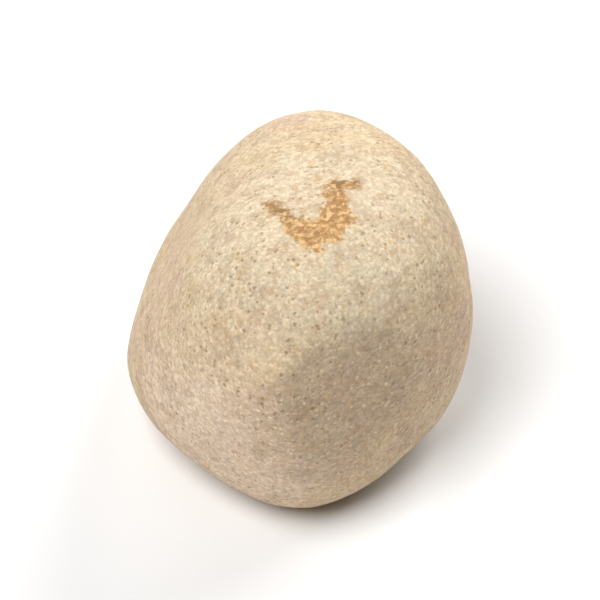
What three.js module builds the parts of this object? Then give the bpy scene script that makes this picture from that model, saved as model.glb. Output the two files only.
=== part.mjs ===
// A river pebble: one water-worn stone of pale sandstone, about 64 mm long, 54 mm wide and 54 mm high.
//
// Frame: millimetres, +Z up, with the stone's front towards -Y and its right side towards +X.
// The origin is on the ground, under the middle of the stone's bounding box.

import * as THREE from "three";
import { mergeVertices } from "three/addons/utils/BufferGeometryUtils.js";

// A stone that a river has tumbled still shows the faces of the block that it broke from, with the
// edges and corners between them worn round. Each face is given by the way it looks out, as an
// azimuth in degrees from the front towards the right and an elevation in degrees above level,
// and by its distance in millimetres from the stone's middle.
const WORN_FACES = {
  crown: { azimuth: 210, elevation: 75, distance: 31 },
  frontLeft: { azimuth: -40, elevation: -15, distance: 29 },
  frontRight: { azimuth: 35, elevation: -10, distance: 27.5 },
  sideLeft: { azimuth: -85, elevation: 10, distance: 33 },
  sideRight: { azimuth: 65, elevation: -15, distance: 28.5 },
  backLeft: { azimuth: 250, elevation: 25, distance: 26 },
  backRight: { azimuth: 110, elevation: 10, distance: 26 },
  back: { azimuth: 160, elevation: -5, distance: 26.5 },
  shoulderLeft: { azimuth: -45, elevation: 30, distance: 41 },
  shoulderRight: { azimuth: 50, elevation: 35, distance: 38 },
  underside: { azimuth: 0, elevation: -90, distance: 21 },
  lowLeft: { azimuth: -90, elevation: -50, distance: 36 },
  lowRight: { azimuth: 95, elevation: -45, distance: 36 },
  lowBack: { azimuth: 190, elevation: -45, distance: 36 },
};
const EDGE_SHARPNESS = 5; // 2 would wear the block down to an egg, and 20 would leave it angular
const GROUND_DEPTH = 20.1; // from the stone's middle down to the ground, where it is worn flat
const SURFACE_DETAIL = 15; // cuts across each face of the icosahedron that carries the surface
const MERGE_DISTANCE = 1e-4;

const SANDSTONE = new THREE.MeshStandardMaterial({
  color: 0xcbb59a,
  roughness: 0.85,
  metalness: 0,
});

// The unit vector of a face's outward direction.
function outwardNormal(face) {
  const azimuth = THREE.MathUtils.degToRad(face.azimuth);
  const elevation = THREE.MathUtils.degToRad(face.elevation);
  return new THREE.Vector3(
    Math.sin(azimuth) * Math.cos(elevation),
    -Math.cos(azimuth) * Math.cos(elevation),
    Math.sin(elevation),
  );
}

const FACES = Object.values(WORN_FACES).map((face) => ({
  normal: outwardNormal(face),
  distance: face.distance,
}));

// How far the surface lies from the stone's middle in one direction. Raising each face's share to
// a power rounds the edges between neighbouring faces, and the ground trims the underside flat.
function surfaceRadius(direction) {
  let total = 0;
  for (const face of FACES) {
    const share = Math.max(0, direction.dot(face.normal) / face.distance);
    total += share ** EDGE_SHARPNESS;
  }
  const worn = total ** (-1 / EDGE_SHARPNESS);
  const ground = direction.z < 0 ? -GROUND_DEPTH / direction.z : Infinity;
  return Math.min(worn, ground);
}

// A ball of even triangles, with each corner moved out to the stone's surface.
function stoneGeometry() {
  const ball = new THREE.IcosahedronGeometry(1, SURFACE_DETAIL);
  ball.deleteAttribute("normal");
  ball.deleteAttribute("uv");
  const stone = mergeVertices(ball, MERGE_DISTANCE);
  const corners = stone.attributes.position;
  const corner = new THREE.Vector3();
  for (let i = 0; i < corners.count; i++) {
    corner.fromBufferAttribute(corners, i).normalize();
    corner.multiplyScalar(surfaceRadius(corner));
    corners.setXYZ(i, corner.x, corner.y, corner.z);
  }
  stone.computeVertexNormals();
  stone.computeBoundingBox();
  return stone;
}

const pebble = new THREE.Mesh(stoneGeometry(), SANDSTONE);
pebble.name = "pebble";
const middle = pebble.geometry.boundingBox.getCenter(new THREE.Vector3());
pebble.position.set(-middle.x, -middle.y, GROUND_DEPTH);

const riverPebble = new THREE.Group();
riverPebble.add(pebble);

export default riverPebble;
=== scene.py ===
"""A river pebble: one water-worn stone of pale, fine-grained sandstone with a rust-coloured stain on top.

The CAD solid gives the stone's place, size and form. This script lays a smooth, finely worn surface over
it, gives that surface the grain and colours of the stone, with some painted light and shade in its broad
tints, and sets the floor, the lights and the camera.
"""

import math

import bmesh
import bpy
import numpy as np
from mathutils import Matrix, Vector, noise
from mathutils.bvhtree import BVHTree


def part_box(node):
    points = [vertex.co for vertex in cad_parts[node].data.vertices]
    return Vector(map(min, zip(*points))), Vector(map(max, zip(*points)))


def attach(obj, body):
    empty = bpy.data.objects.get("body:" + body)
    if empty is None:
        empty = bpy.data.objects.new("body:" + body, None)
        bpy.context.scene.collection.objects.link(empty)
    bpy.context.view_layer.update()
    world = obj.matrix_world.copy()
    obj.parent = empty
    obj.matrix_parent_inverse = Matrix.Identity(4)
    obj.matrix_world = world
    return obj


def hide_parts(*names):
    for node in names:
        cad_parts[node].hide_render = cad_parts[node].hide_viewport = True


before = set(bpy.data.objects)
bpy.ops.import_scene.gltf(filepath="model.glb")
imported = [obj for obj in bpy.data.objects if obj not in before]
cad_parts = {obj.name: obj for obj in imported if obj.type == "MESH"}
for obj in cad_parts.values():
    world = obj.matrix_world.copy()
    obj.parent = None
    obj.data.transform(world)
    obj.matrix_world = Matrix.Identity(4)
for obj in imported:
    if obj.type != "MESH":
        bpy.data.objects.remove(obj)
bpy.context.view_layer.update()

MM = 0.001  # one millimetre, in the metres that Blender works in
SCENE = bpy.context.scene
LOW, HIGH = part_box("pebble")
SIZE = HIGH - LOW
MIDDLE = (LOW + HIGH) / 2


# ---------------------------------------------------------------- the stone's surface

SMOOTHING_LEVELS = 2  # each level splits a facet's edges in two
FLAT_HEIGHT = 0.4 * MM  # the relief fades out below this height, so that the resting face stays flat
FADE_HEIGHT = 5.0 * MM

# Broad flats worn on the rounded faces: the way each looks out, as an azimuth in degrees from the front
# towards the right and an elevation, and how deep it cuts into the stone, in millimetres.
FLATS = [(26, 2, 1.8)]
FLAT_ROUNDING = 0.5 * MM  # how much of that depth goes into rounding the flat's rim

# Relief that the river left, as (size of the bumps, how far they rise and fall), in millimetres.
WORN_RELIEF = [(22.0, 0.55), (9.0, 0.22), (4.0, 0.07)]

# Small dents from knocks against other stones: how many, their radius and their depth in millimetres.
DENT_COUNT = 120
DENT_SEED = 7
DENT_RADIUS = (0.9, 2.4)
DENT_DEPTH = (0.03, 0.12)

# The rust stain is a crook with a spur at its foot and a dark bar across its top. Each branch is a list of
# points in millimetres from the stain's middle, to the stone's right and to its back, each with half the
# stain's width there and how dark it is.
STAIN_AT = (0.53, 0.35)  # the stain's middle, as a share of the stone's width and length
STAIN_DEPTH = 8.0  # the stain doesn't reach points further below its middle than this, in millimetres
UNSTAINED = -10.0  # how far inside the stain's edge a point counts that is nowhere near the stain
STAIN_BRANCHES = {
    "crook": [
        # right, back, half width, darkness
        (-6.8, 5.9, 0.5, 1.0),
        (-5.2, 4.3, 1.0, 1.0),
        (-3.8, 1.7, 1.1, 0.8),
        (-2.4, -1.0, 1.8, 0.55),
        (-0.7, -2.4, 2.6, 0.5),
        (2.3, -1.8, 2.6, 0.4),
        (4.2, 0.7, 2.4, 0.4),
        (4.1, 3.4, 1.9, 0.45),
        (3.5, 5.9, 1.6, 0.55),
        (3.8, 8.4, 1.5, 0.8),
    ],
    "spur": [
        (0.2, -3.0, 2.2, 0.4),
        (0.5, -5.9, 0.9, 0.5),
    ],
    "bar": [
        (2.3, 8.7, 0.9, 1.0),
        (4.6, 9.0, 1.3, 1.0),
        (7.3, 9.2, 0.6, 1.0),
    ],
}


def coordinates(mesh):
    """The mesh's vertices as an array of points."""
    points = np.empty(len(mesh.vertices) * 3)
    mesh.vertices.foreach_get("co", points)
    return points.reshape(-1, 3)


def normals(mesh):
    """The outward direction at each of the mesh's vertices."""
    directions = np.empty(len(mesh.vertices) * 3)
    mesh.vertex_normals.foreach_get("vector", directions)
    return directions.reshape(-1, 3)


def smooth_step(low, high, value):
    """0 below low, 1 above high, and a smooth rise between them."""
    t = np.clip((value - low) / (high - low), 0, 1)
    return t * t * (3 - 2 * t)


def smoothed_copy(node, name):
    """The CAD solid's facets, welded and smoothed into one even surface."""
    stone = bpy.data.objects.new(name, node.data.copy())
    SCENE.collection.objects.link(stone)
    shape = bmesh.new()
    shape.from_mesh(stone.data)
    bmesh.ops.remove_doubles(shape, verts=shape.verts, dist=0.01 * MM)
    shape.to_mesh(stone.data)
    shape.free()
    smoothing = stone.modifiers.new("smoothing", "SUBSURF")
    smoothing.levels = SMOOTHING_LEVELS
    bpy.context.view_layer.update()
    smooth = bpy.data.meshes.new_from_object(stone.evaluated_get(bpy.context.evaluated_depsgraph_get()))
    stone.modifiers.clear()
    stone.data = smooth
    stone.data.shade_smooth()
    return stone


def outward(azimuth, elevation):
    """The unit vector out from the stone at these angles, in degrees, from the front and the horizon."""
    turn, rise = math.radians(azimuth), math.radians(elevation)
    return Vector((math.sin(turn) * math.cos(rise), -math.cos(turn) * math.cos(rise), math.sin(rise)))


def cut_by_flats(points):
    """The points, with those that stand out past each flat brought back to it."""
    for azimuth, elevation, depth in FLATS:
        way = np.array(outward(azimuth, elevation))
        reach = points @ way
        past = reach - (reach.max() - depth * MM)
        rounded = np.clip(past + FLAT_ROUNDING, 0, None) ** 2 / (4 * FLAT_ROUNDING)
        points = points - np.where(past > FLAT_ROUNDING, past, rounded)[:, None] * way
    return points


def worn_relief(points):
    """How far the worn surface stands out at each point, in metres."""
    height = np.zeros(len(points))
    for size, rise in WORN_RELIEF:
        waves = [noise.noise(Vector(p) / (size * MM)) for p in points]
        height += rise * MM * np.array(waves)
    return height


def dents(points, rng):
    """How far small knocks have sunk the surface at each point, in metres."""
    depth = np.zeros(len(points))
    for centre in points[rng.choice(len(points), DENT_COUNT, replace=False)]:
        radius = rng.uniform(*DENT_RADIUS) * MM
        deepest = rng.uniform(*DENT_DEPTH) * MM
        away = np.linalg.norm(points - centre, axis=1) / radius
        depth = np.maximum(depth, deepest * smooth_step(1.0, 0.2, away))
    return depth


def wear(stone):
    """Cuts the flats, then moves the surface in and out along its normals by the relief and the dents."""
    points = cut_by_flats(coordinates(stone.data))
    stone.data.vertices.foreach_set("co", points.ravel())
    stone.data.update()
    rng = np.random.default_rng(DENT_SEED)
    height = worn_relief(points) - dents(points, rng)
    height *= smooth_step(FLAT_HEIGHT, FADE_HEIGHT, points[:, 2])
    points += normals(stone.data) * height[:, None]
    stone.data.vertices.foreach_set("co", points.ravel())
    stone.data.update()


def stain_middle(stone):
    """The point of the crown under which the stain lies, and the outward direction there."""
    tree = BVHTree.FromObject(stone, bpy.context.evaluated_depsgraph_get())
    above = Vector((LOW.x + STAIN_AT[0] * SIZE.x, LOW.y + STAIN_AT[1] * SIZE.y, HIGH.z + SIZE.z))
    place, normal, _, _ = tree.ray_cast(above, Vector((0, 0, -1)))
    return place, normal


def stain_field(stone):
    """How far each vertex lies inside the stain's edge in millimetres, and how dark the stain is there."""
    place, normal = stain_middle(stone)
    to_right = (Vector((1, 0, 0)) - normal * normal.x).normalized()
    to_back = normal.cross(to_right)
    offset = (coordinates(stone.data) - np.array(place)) / MM
    flat = np.stack([offset @ np.array(to_right), offset @ np.array(to_back)], axis=1)
    inside = np.full(len(flat), UNSTAINED)
    dark = np.zeros(len(flat))
    for branch in STAIN_BRANCHES.values():
        for (x0, y0, width0, dark0), (x1, y1, width1, dark1) in zip(branch, branch[1:]):
            start, along = np.array([x0, y0]), np.array([x1 - x0, y1 - y0])
            t = np.clip(((flat - start) @ along) / (along @ along), 0, 1)
            away = np.linalg.norm(flat - start - t[:, None] * along, axis=1)
            here = width0 + t * (width1 - width0) - away
            dark = np.where(here > inside, dark0 + t * (dark1 - dark0), dark)
            inside = np.maximum(inside, here)
    inside[offset @ np.array(normal) < -STAIN_DEPTH] = UNSTAINED
    return inside, dark


def store(mesh, name, values):
    """Keeps one number for each vertex, for the material to read."""
    attribute = mesh.attributes.new(name, "FLOAT", "POINT")
    attribute.data.foreach_set("value", values.astype(np.float32))


def make_stone():
    stone = smoothed_copy(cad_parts["pebble"], "river_pebble")
    wear(stone)
    inside, dark = stain_field(stone)
    store(stone.data, "stain_inside", inside)
    store(stone.data, "stain_dark", dark)
    return stone


# ---------------------------------------------------------------- the stone's material


class Graph:
    """Short names for the shader nodes that a material or the world is made of."""

    def __init__(self, owner):
        owner.use_nodes = True
        self.tree = owner.node_tree
        self.tree.nodes.clear()

    def node(self, kind, sockets, **settings):
        made = self.tree.nodes.new(kind)
        for name, value in settings.items():
            setattr(made, name, value)
        for name, value in sockets.items():
            if isinstance(value, bpy.types.NodeSocket):
                self.tree.links.new(value, made.inputs[name])
            else:
                made.inputs[name].default_value = value
        return made

    def math(self, operation, a, b=0.0, clamp=False):
        return self.node("ShaderNodeMath", {0: a, 1: b}, operation=operation, use_clamp=clamp).outputs[0]

    def scale(self, vector, factor):
        return self.node("ShaderNodeVectorMath", {0: vector, "Scale": factor}, operation="SCALE").outputs[0]

    def add(self, a, b):
        return self.node("ShaderNodeVectorMath", {0: a, 1: b}, operation="ADD").outputs[0]

    def distance(self, a, b):
        return self.node("ShaderNodeVectorMath", {0: a, 1: b}, operation="DISTANCE").outputs["Value"]

    def total(self, *values):
        result = values[0]
        for value in values[1:]:
            result = self.math("ADD", result, value)
        return result

    def blend(self, factor, a, b):
        made = self.node("ShaderNodeMix", {}, data_type="RGBA")
        for socket, value in ((0, factor), (6, a), (7, b)):
            if isinstance(value, bpy.types.NodeSocket):
                self.tree.links.new(value, made.inputs[socket])
            else:
                made.inputs[socket].default_value = value
        return made.outputs[2]

    def ease(self, value, low, high, start=0.0, end=1.0):
        """Goes smoothly from start to end as value goes from low to high."""
        sockets = {"Value": value, "From Min": low, "From Max": high, "To Min": start, "To Max": end}
        return self.node("ShaderNodeMapRange", sockets, interpolation_type="SMOOTHSTEP").outputs[0]

    def clouds(self, where, size, detail=2.0, roughness=0.5):
        """A soft random pattern, about 0.5 on average, of patches about size millimetres across."""
        sockets = {"Vector": where, "Scale": 1 / size, "Detail": detail, "Roughness": roughness}
        return self.node("ShaderNodeTexNoise", sockets).outputs[0]

    def grains(self, where, size):
        """Cells about size millimetres across: the distance from a cell's middle in millimetres, and three
        random numbers that are the same all over the cell."""
        cells = self.node("ShaderNodeTexVoronoi", {"Vector": where, "Scale": 1 / size})
        lots = self.node("ShaderNodeSeparateColor", {"Color": cells.outputs["Color"]})
        return self.math("MULTIPLY", cells.outputs["Distance"], size), lots.outputs


def rgb(red, green, blue):
    return (red, green, blue, 1.0)


CREAM = rgb(0.635, 0.474, 0.300)
PALE = rgb(0.665, 0.520, 0.340)
TAN = rgb(0.480, 0.330, 0.195)
PINK = rgb(0.600, 0.430, 0.305)
YELLOW = rgb(0.605, 0.470, 0.290)
# CHALK_AND_PAINTED_HIGHLIGHT is partly the crown's own paler tone and partly a painted highlight on the
# top.
CHALK_AND_PAINTED_HIGHLIGHT = rgb(0.664, 0.556, 0.392)
# ASH_AND_PAINTED_LIGHT is partly the stone's pale tone and partly painted light on the lower front-left
# flank.
ASH_AND_PAINTED_LIGHT = rgb(0.735, 0.575, 0.435)
# BROWN_AND_PAINTED_SHADE colours the stone's blotches and also serves as painted shade on the front facet.
BROWN_AND_PAINTED_SHADE = rgb(0.465, 0.345, 0.236)
GOLD = rgb(0.560, 0.370, 0.170)
SPECK = rgb(0.260, 0.170, 0.085)
QUARTZ = rgb(0.860, 0.740, 0.520)
RUST = rgb(0.440, 0.215, 0.058)
RUST_DARK = rgb(0.220, 0.115, 0.034)
RUST_PALE = rgb(0.800, 0.500, 0.225)

# Broad tints, as the way out from the stone's middle to each (azimuth in degrees from the front towards the
# right, elevation), how far it spreads in millimetres, how much of it shows, and its colour. The pink tints
# are the stone's own colour; the crown, foot and front tints are partly painted highlight, painted light
# and painted shade.
TINTS_AND_PAINTED_SHADING = {
    # Partly the crown's paler tone, partly a painted highlight on the top.
    "chalky crown and painted highlight": (15, 68, 24, 0.80, CHALK_AND_PAINTED_HIGHLIGHT),
    "pink flank": (-80, 5, 15, 0.55, PINK),
    # Partly the stone's pale tone, partly painted light on the lower front-left flank.
    "pale foot and painted light": (-27, -14, 19, 0.80, ASH_AND_PAINTED_LIGHT),
    "pink side": (75, 0, 14, 0.55, PINK),
    # Partly the stone's brown tone, partly painted shade darkening the shaded front facet.
    "brown front and painted shade": (15, 8, 16, 0.66, BROWN_AND_PAINTED_SHADE),
}
TINT_FADE = (0.6, 1.15)  # the shares of its spread at which a tint starts to fade and is gone
TINT_DRIFT = 3.0  # how far the tints' edges wander, in millimetres

# The size of the patches and clouds of other tints all over the stone, in millimetres.
PALE_PATCHES = 13.0
HUE_PATCHES = 9.0
DRIFT_PATCHES = 8.0
BLOTCHES = 5.0
MOTTLE = 2.4

# The grain, in millimetres.
SAND_SIZE = 0.66
SILT_SIZE = 0.32
RAGGED_SCALE = 2.4  # waves to a millimetre, in the pattern that makes the grains' outlines ragged
RAGGED_REACH = 0.7  # how far that pattern moves them, in millimetres

# Spots among the grains: the size in millimetres of the cells that hold one spot each, the share of the
# cells that have a spot, and the smallest and largest radius of a spot.
GOLD_SPOTS = (0.9, 0.50, (0.12, 0.38))
BROWN_SPECKS = (0.95, 0.55, (0.10, 0.32))
QUARTZ_GRAINS = (0.9, 0.40, (0.10, 0.32))
PORES = (1.9, 0.30, (0.10, 0.28))
SPOT_EDGE = 0.08  # how soft a spot's edge is, in millimetres
SPECKLED_AREAS = 13.0  # the size of the areas that have more brown specks

# How far patterns are moved from their place, in millimetres, so that no two of one kind line up.
SHIFTS = {
    "hue": (40.0, 0.0, 0.0),
    "drift": (0.0, 0.0, 70.0),
    "blotches": (0.0, 30.0, 0.0),
    "speckled": (25.0, 0.0, 20.0),
    "gold": (3.0, 11.0, 7.0),
    "quartz": (9.0, 4.0, 2.0),
    "pores": (0.0, 17.0, 5.0),
}


def surface_point(stone, azimuth, elevation):
    """The point of the surface, in millimetres, that lies this way out from the stone's middle."""
    tree = BVHTree.FromObject(stone, bpy.context.evaluated_depsgraph_get())
    way = outward(azimuth, elevation)
    place, _, _, _ = tree.ray_cast(MIDDLE + way * SIZE.length, -way)
    return place / MM


def spots(g, where, kind):
    """Round spots, one in each of a share of the cells: 1 inside a spot and 0 outside."""
    size, share, (smallest, largest) = kind
    away, lots = g.grains(where, size)
    present = g.math("LESS_THAN", lots[0], share)
    radius = g.ease(lots[1], 0.0, 1.0, smallest, largest)
    inside = g.math("SUBTRACT", radius, away)
    return g.math("MULTIPLY", present, g.ease(inside, -SPOT_EDGE, SPOT_EDGE))


def tinted(g, where, stone):
    """The stone's ground colour: soft patches of several creams, and the broad tints over them, some of
    which are partly painted highlight, painted light and painted shade.
    """
    patches = g.clouds(where, PALE_PATCHES, 3.0)
    hue = g.clouds(g.add(where, SHIFTS["hue"]), HUE_PATCHES, 3.0)
    colour = g.blend(g.ease(patches, 0.38, 0.62), CREAM, PALE)
    colour = g.blend(g.ease(hue, 0.50, 0.68, 0.0, 0.7), colour, PINK)
    colour = g.blend(g.ease(hue, 0.50, 0.32, 0.0, 0.7), colour, YELLOW)
    wander = g.clouds(g.add(where, SHIFTS["drift"]), DRIFT_PATCHES, 3.0)
    drift = g.ease(wander, 0.3, 0.7, -TINT_DRIFT, TINT_DRIFT)
    fading, gone = TINT_FADE
    # The crown, foot and front tints are partly painted highlight, painted light and painted shade.
    for azimuth, elevation, spread, strength, tint in TINTS_AND_PAINTED_SHADING.values():
        away = g.distance(where, tuple(surface_point(stone, azimuth, elevation)))
        shown = g.ease(g.math("ADD", away, drift), fading * spread, gone * spread, strength, 0.0)
        colour = g.blend(shown, colour, tint)
    return colour


def rust_stained(g, where, colour, mottle, sand):
    """The colour with the rust stain over it, and how much of the stain there is."""
    inside = g.node("ShaderNodeAttribute", {}, attribute_name="stain_inside").outputs["Fac"]
    dark = g.node("ShaderNodeAttribute", {}, attribute_name="stain_dark").outputs["Fac"]
    flecks = g.total(g.clouds(where, 0.9, 3.0), g.ease(sand[2], 0.0, 1.0, -0.06, 0.06))
    frayed = g.total(inside, g.ease(mottle, 0.3, 0.7, -0.7, 0.7), g.ease(sand[1], 0.0, 1.0, -0.5, 0.5))
    stained = g.ease(frayed, -0.75, 0.50)
    rust = g.blend(g.ease(flecks, 0.46, 0.58), RUST, RUST_PALE)
    darkened = g.math("MULTIPLY", dark, g.ease(sand[1], 0.1, 0.9, 1.3, 0.3), clamp=True)
    rust = g.blend(darkened, rust, RUST_DARK)
    return g.blend(g.math("MULTIPLY", stained, 0.90), colour, rust), stained


def sandstone(stone):
    """Cream sandstone: sand grains of slightly different tints, brown, golden and bright quartz specks,
    soft patches of paler and darker stone, some of them partly painted light and painted shade, fine pores,
    and the rust stain."""
    material = bpy.data.materials.new("sandstone")
    g = Graph(material)
    place = g.node("ShaderNodeTexCoord", {}).outputs["Object"]
    where = g.scale(place, 1 / MM)
    shaking = {"Vector": where, "Scale": RAGGED_SCALE, "Detail": 3.0}
    shake = g.node("ShaderNodeTexNoise", shaking).outputs["Color"]
    ragged = g.add(where, g.scale(shake, RAGGED_REACH))

    sand_away, sand = g.grains(ragged, SAND_SIZE)
    silt_away, silt = g.grains(ragged, SILT_SIZE)
    mottle = g.clouds(where, MOTTLE, 4.0, 0.6)
    blotch = g.clouds(g.add(where, SHIFTS["blotches"]), BLOTCHES, 2.0)
    speckled = g.ease(g.clouds(g.add(where, SHIFTS["speckled"]), SPECKLED_AREAS, 3.0), 0.36, 0.60)

    colour = tinted(g, where, stone)
    colour = g.blend(g.ease(mottle, 0.48, 0.66, 0.0, 0.50), colour, TAN)
    colour = g.blend(g.ease(blotch, 0.50, 0.66, 0.0, 0.40), colour, BROWN_AND_PAINTED_SHADE)

    sand_tone = g.ease(sand[0], 0.0, 1.0, 0.89, 1.11)
    silt_tone = g.ease(silt[0], 0.0, 1.0, 0.91, 1.09)
    crack_tone = g.ease(sand_away, 0.26, 0.42, 1.0, 0.90)
    colour = g.scale(colour, g.math("MULTIPLY", g.math("MULTIPLY", sand_tone, silt_tone), crack_tone))

    gold = spots(g, g.add(ragged, SHIFTS["gold"]), GOLD_SPOTS)
    colour = g.blend(g.math("MULTIPLY", gold, 0.6), colour, GOLD)
    specks = spots(g, ragged, BROWN_SPECKS)
    speck_share = g.ease(speckled, 0.0, 1.0, 0.15, 0.72)
    colour = g.blend(g.math("MULTIPLY", specks, speck_share), colour, SPECK)
    quartz = spots(g, g.add(ragged, SHIFTS["quartz"]), QUARTZ_GRAINS)
    colour = g.blend(g.math("MULTIPLY", quartz, 0.45), colour, QUARTZ)

    colour, stained = rust_stained(g, ragged, colour, mottle, sand)

    pores = spots(g, g.add(ragged, SHIFTS["pores"]), PORES)
    colour = g.blend(g.math("MULTIPLY", pores, 0.45), colour, SPECK)

    roughness = g.ease(g.total(sand[2], mottle), 0.3, 1.7, 0.74, 0.95)

    height = g.total(
        g.ease(sand_away, 0.0, 0.45, 0.042, 0.0),
        g.ease(silt_away, 0.0, 0.22, 0.018, 0.0),
        g.ease(mottle, 0.2, 0.8, 0.0, 0.08),
        g.ease(pores, 0.0, 1.0, 0.0, -0.12),
        g.ease(stained, 0.0, 1.0, 0.0, -0.03),
    )
    bump = g.node("ShaderNodeBump", {"Height": height, "Strength": 1.0, "Distance": MM})

    surface = g.node(
        "ShaderNodeBsdfPrincipled",
        {
            "Base Color": colour,
            "Roughness": roughness,
            "Normal": bump.outputs[0],
            "IOR": 1.5,
            "Specular IOR Level": 0.35,
        },
    )
    g.node("ShaderNodeOutputMaterial", {"Surface": surface.outputs[0]})
    return material


# ---------------------------------------------------------------- the camera, the lights and the floor

CAMERA_DISTANCE = 1.5  # metres
CAMERA_ELEVATION = 45  # degrees
FRAME_WIDTH = 94 * MM  # what the camera's frame spans at the stone
SENSOR_WIDTH = 36.0

FLOOR_RADIUS = 4.0
FLOOR_CORNERS = 96
FLOOR_WHITE = rgb(0.86, 0.86, 0.86)
SKY_STRENGTH = 0.05
BACKDROP_STRENGTH = 1.2  # as bright as the lit floor, so that the two meet unseen

# Soft lights, as their direction from the stone (azimuth in degrees from the front towards the right,
# elevation), how wide they look from it in degrees, and their strength in watts per square metre.
LIGHTS = {
    "key": (-45, 60, 38, 3.1),
    "right": (135, 36, 38, 2.2),
    "back": (-165, 14, 38, 1.4),
}


def aim(thing, place, target):
    """Puts a camera or a light at a place, looking at a target."""
    thing.location = place
    thing.rotation_euler = (target - place).to_track_quat("-Z", "Y").to_euler()


def make_camera():
    camera = bpy.data.objects.new("camera", bpy.data.cameras.new("camera"))
    SCENE.collection.objects.link(camera)
    camera.data.sensor_width = SENSOR_WIDTH
    camera.data.lens = SENSOR_WIDTH * CAMERA_DISTANCE / FRAME_WIDTH
    camera.data.clip_start = 0.05
    camera.data.clip_end = 20.0
    aim(camera, MIDDLE + outward(0, CAMERA_ELEVATION) * CAMERA_DISTANCE, MIDDLE)
    SCENE.camera = camera


def make_lights():
    for name, (azimuth, elevation, width, strength) in LIGHTS.items():
        light = bpy.data.objects.new(name, bpy.data.lights.new(name, "SUN"))
        SCENE.collection.objects.link(light)
        light.data.angle = math.radians(width)
        light.data.energy = strength
        aim(light, MIDDLE + outward(azimuth, elevation), MIDDLE)


def make_world():
    """A dim white sky for the light, which the camera sees as a bright backdrop."""
    world = bpy.data.worlds.new("studio")
    g = Graph(world)
    seen = g.node("ShaderNodeLightPath", {}).outputs["Is Camera Ray"]
    strength = g.ease(seen, 0.0, 1.0, SKY_STRENGTH, BACKDROP_STRENGTH)
    background = g.node("ShaderNodeBackground", {"Color": rgb(1.0, 1.0, 1.0), "Strength": strength})
    g.node("ShaderNodeOutputWorld", {"Surface": background.outputs[0]})
    SCENE.world = world


def make_floor():
    bpy.ops.mesh.primitive_circle_add(
        vertices=FLOOR_CORNERS, radius=FLOOR_RADIUS, fill_type="NGON", location=(0, 0, 0)
    )
    floor = bpy.context.object
    floor.name = "floor"
    paper = bpy.data.materials.new("paper")
    g = Graph(paper)
    surface = g.node("ShaderNodeBsdfDiffuse", {"Color": FLOOR_WHITE})
    g.node("ShaderNodeOutputMaterial", {"Surface": surface.outputs[0]})
    floor.data.materials.append(paper)


# ---------------------------------------------------------------- the scene

make_camera()
make_lights()
make_world()
make_floor()

pebble = make_stone()
pebble.data.materials.clear()
pebble.data.materials.append(sandstone(pebble))
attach(pebble, "root")
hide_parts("pebble")

SCENE.view_settings.view_transform = "Standard"
SCENE.view_settings.look = "None"
